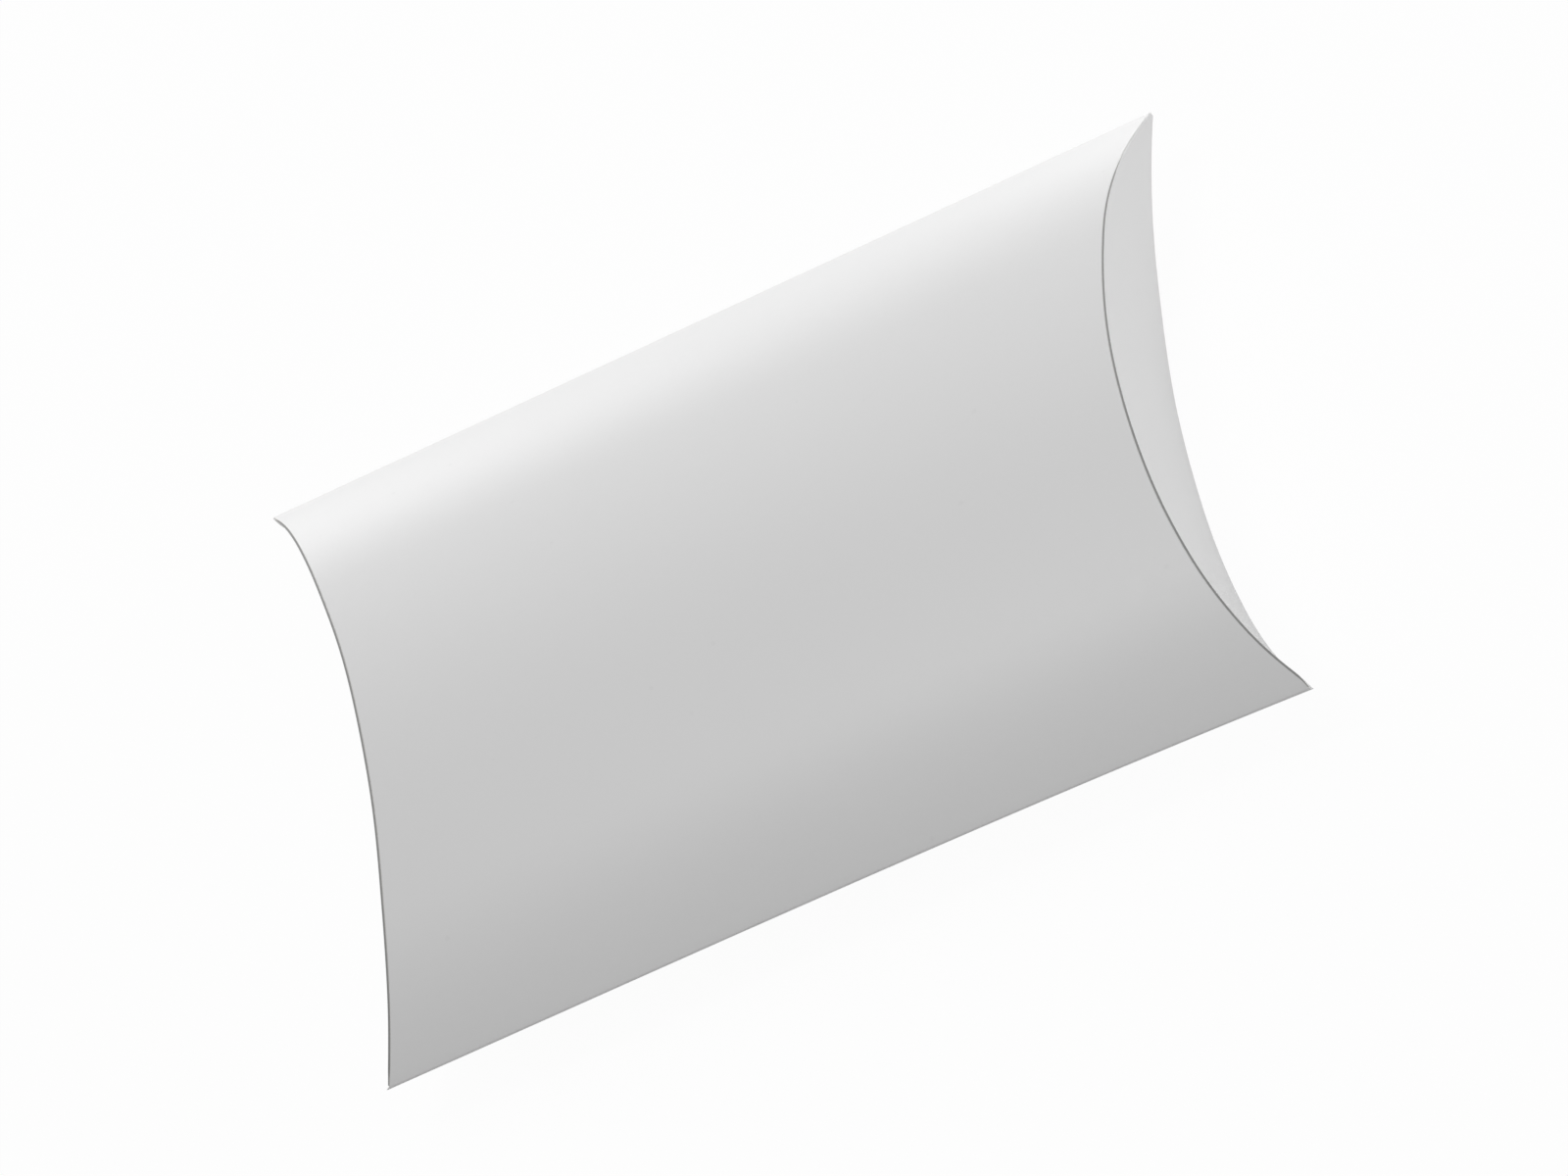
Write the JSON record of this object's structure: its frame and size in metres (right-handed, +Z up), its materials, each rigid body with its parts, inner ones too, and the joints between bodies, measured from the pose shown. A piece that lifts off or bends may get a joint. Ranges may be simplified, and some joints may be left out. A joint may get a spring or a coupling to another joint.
{
  "type": "pillow box",
  "caption": "Pillow box of folded solid board: arched front and back panels meet in straight side creases, and curved outer and inner flaps close each end.",
  "frame": {"origin": "lowest point of the back panel's belly, midway between the ends and between the side creases", "axes": "+X along the side creases towards the right end, +Y towards the glued seam, +Z up through the front panel"},
  "size_m": [0.18, 0.1204, 0.0294],
  "materials": {
    "white_board": "matte, clay coated",
    "adhesive": "dried, dull"
  },
  "bodies": {
    "sleeve": {"front_panel": "white_board", "back_panel": "white_board", "glue_tab": "white_board", "glue_line": "adhesive"},
    "right_outer": {"right_outer_flap": "white_board"},
    "right_inner": {"right_inner_flap": "white_board"},
    "left_outer": {"left_outer_flap": "white_board"},
    "left_inner": {"left_inner_flap": "white_board"}
  },
  "joints": [
    {"name": "right_outer_fold", "type": "hinge", "parent": "sleeve", "child": "right_outer", "pos_m": [0.0753, 0, 0], "axis": [0, 1, 0], "range_deg": [0, 90]},
    {"name": "right_inner_fold", "type": "hinge", "parent": "sleeve", "child": "right_inner", "pos_m": [0.07455, 0, 0.0294], "axis": [0, -1, 0], "range_deg": [0, 90]},
    {"name": "left_outer_fold", "type": "hinge", "parent": "sleeve", "child": "left_outer", "pos_m": [-0.0753, 0, 0], "axis": [0, -1, 0], "range_deg": [0, 90]},
    {"name": "left_inner_fold", "type": "hinge", "parent": "sleeve", "child": "left_inner", "pos_m": [-0.07455, 0, 0.0294], "axis": [0, 1, 0], "range_deg": [0, 90]}
  ],
  "couplings": [
    {"joint": "right_inner_fold", "follows": "right_outer_fold", "ratio": 1},
    {"joint": "left_inner_fold", "follows": "left_outer_fold", "ratio": 1}
  ]
}
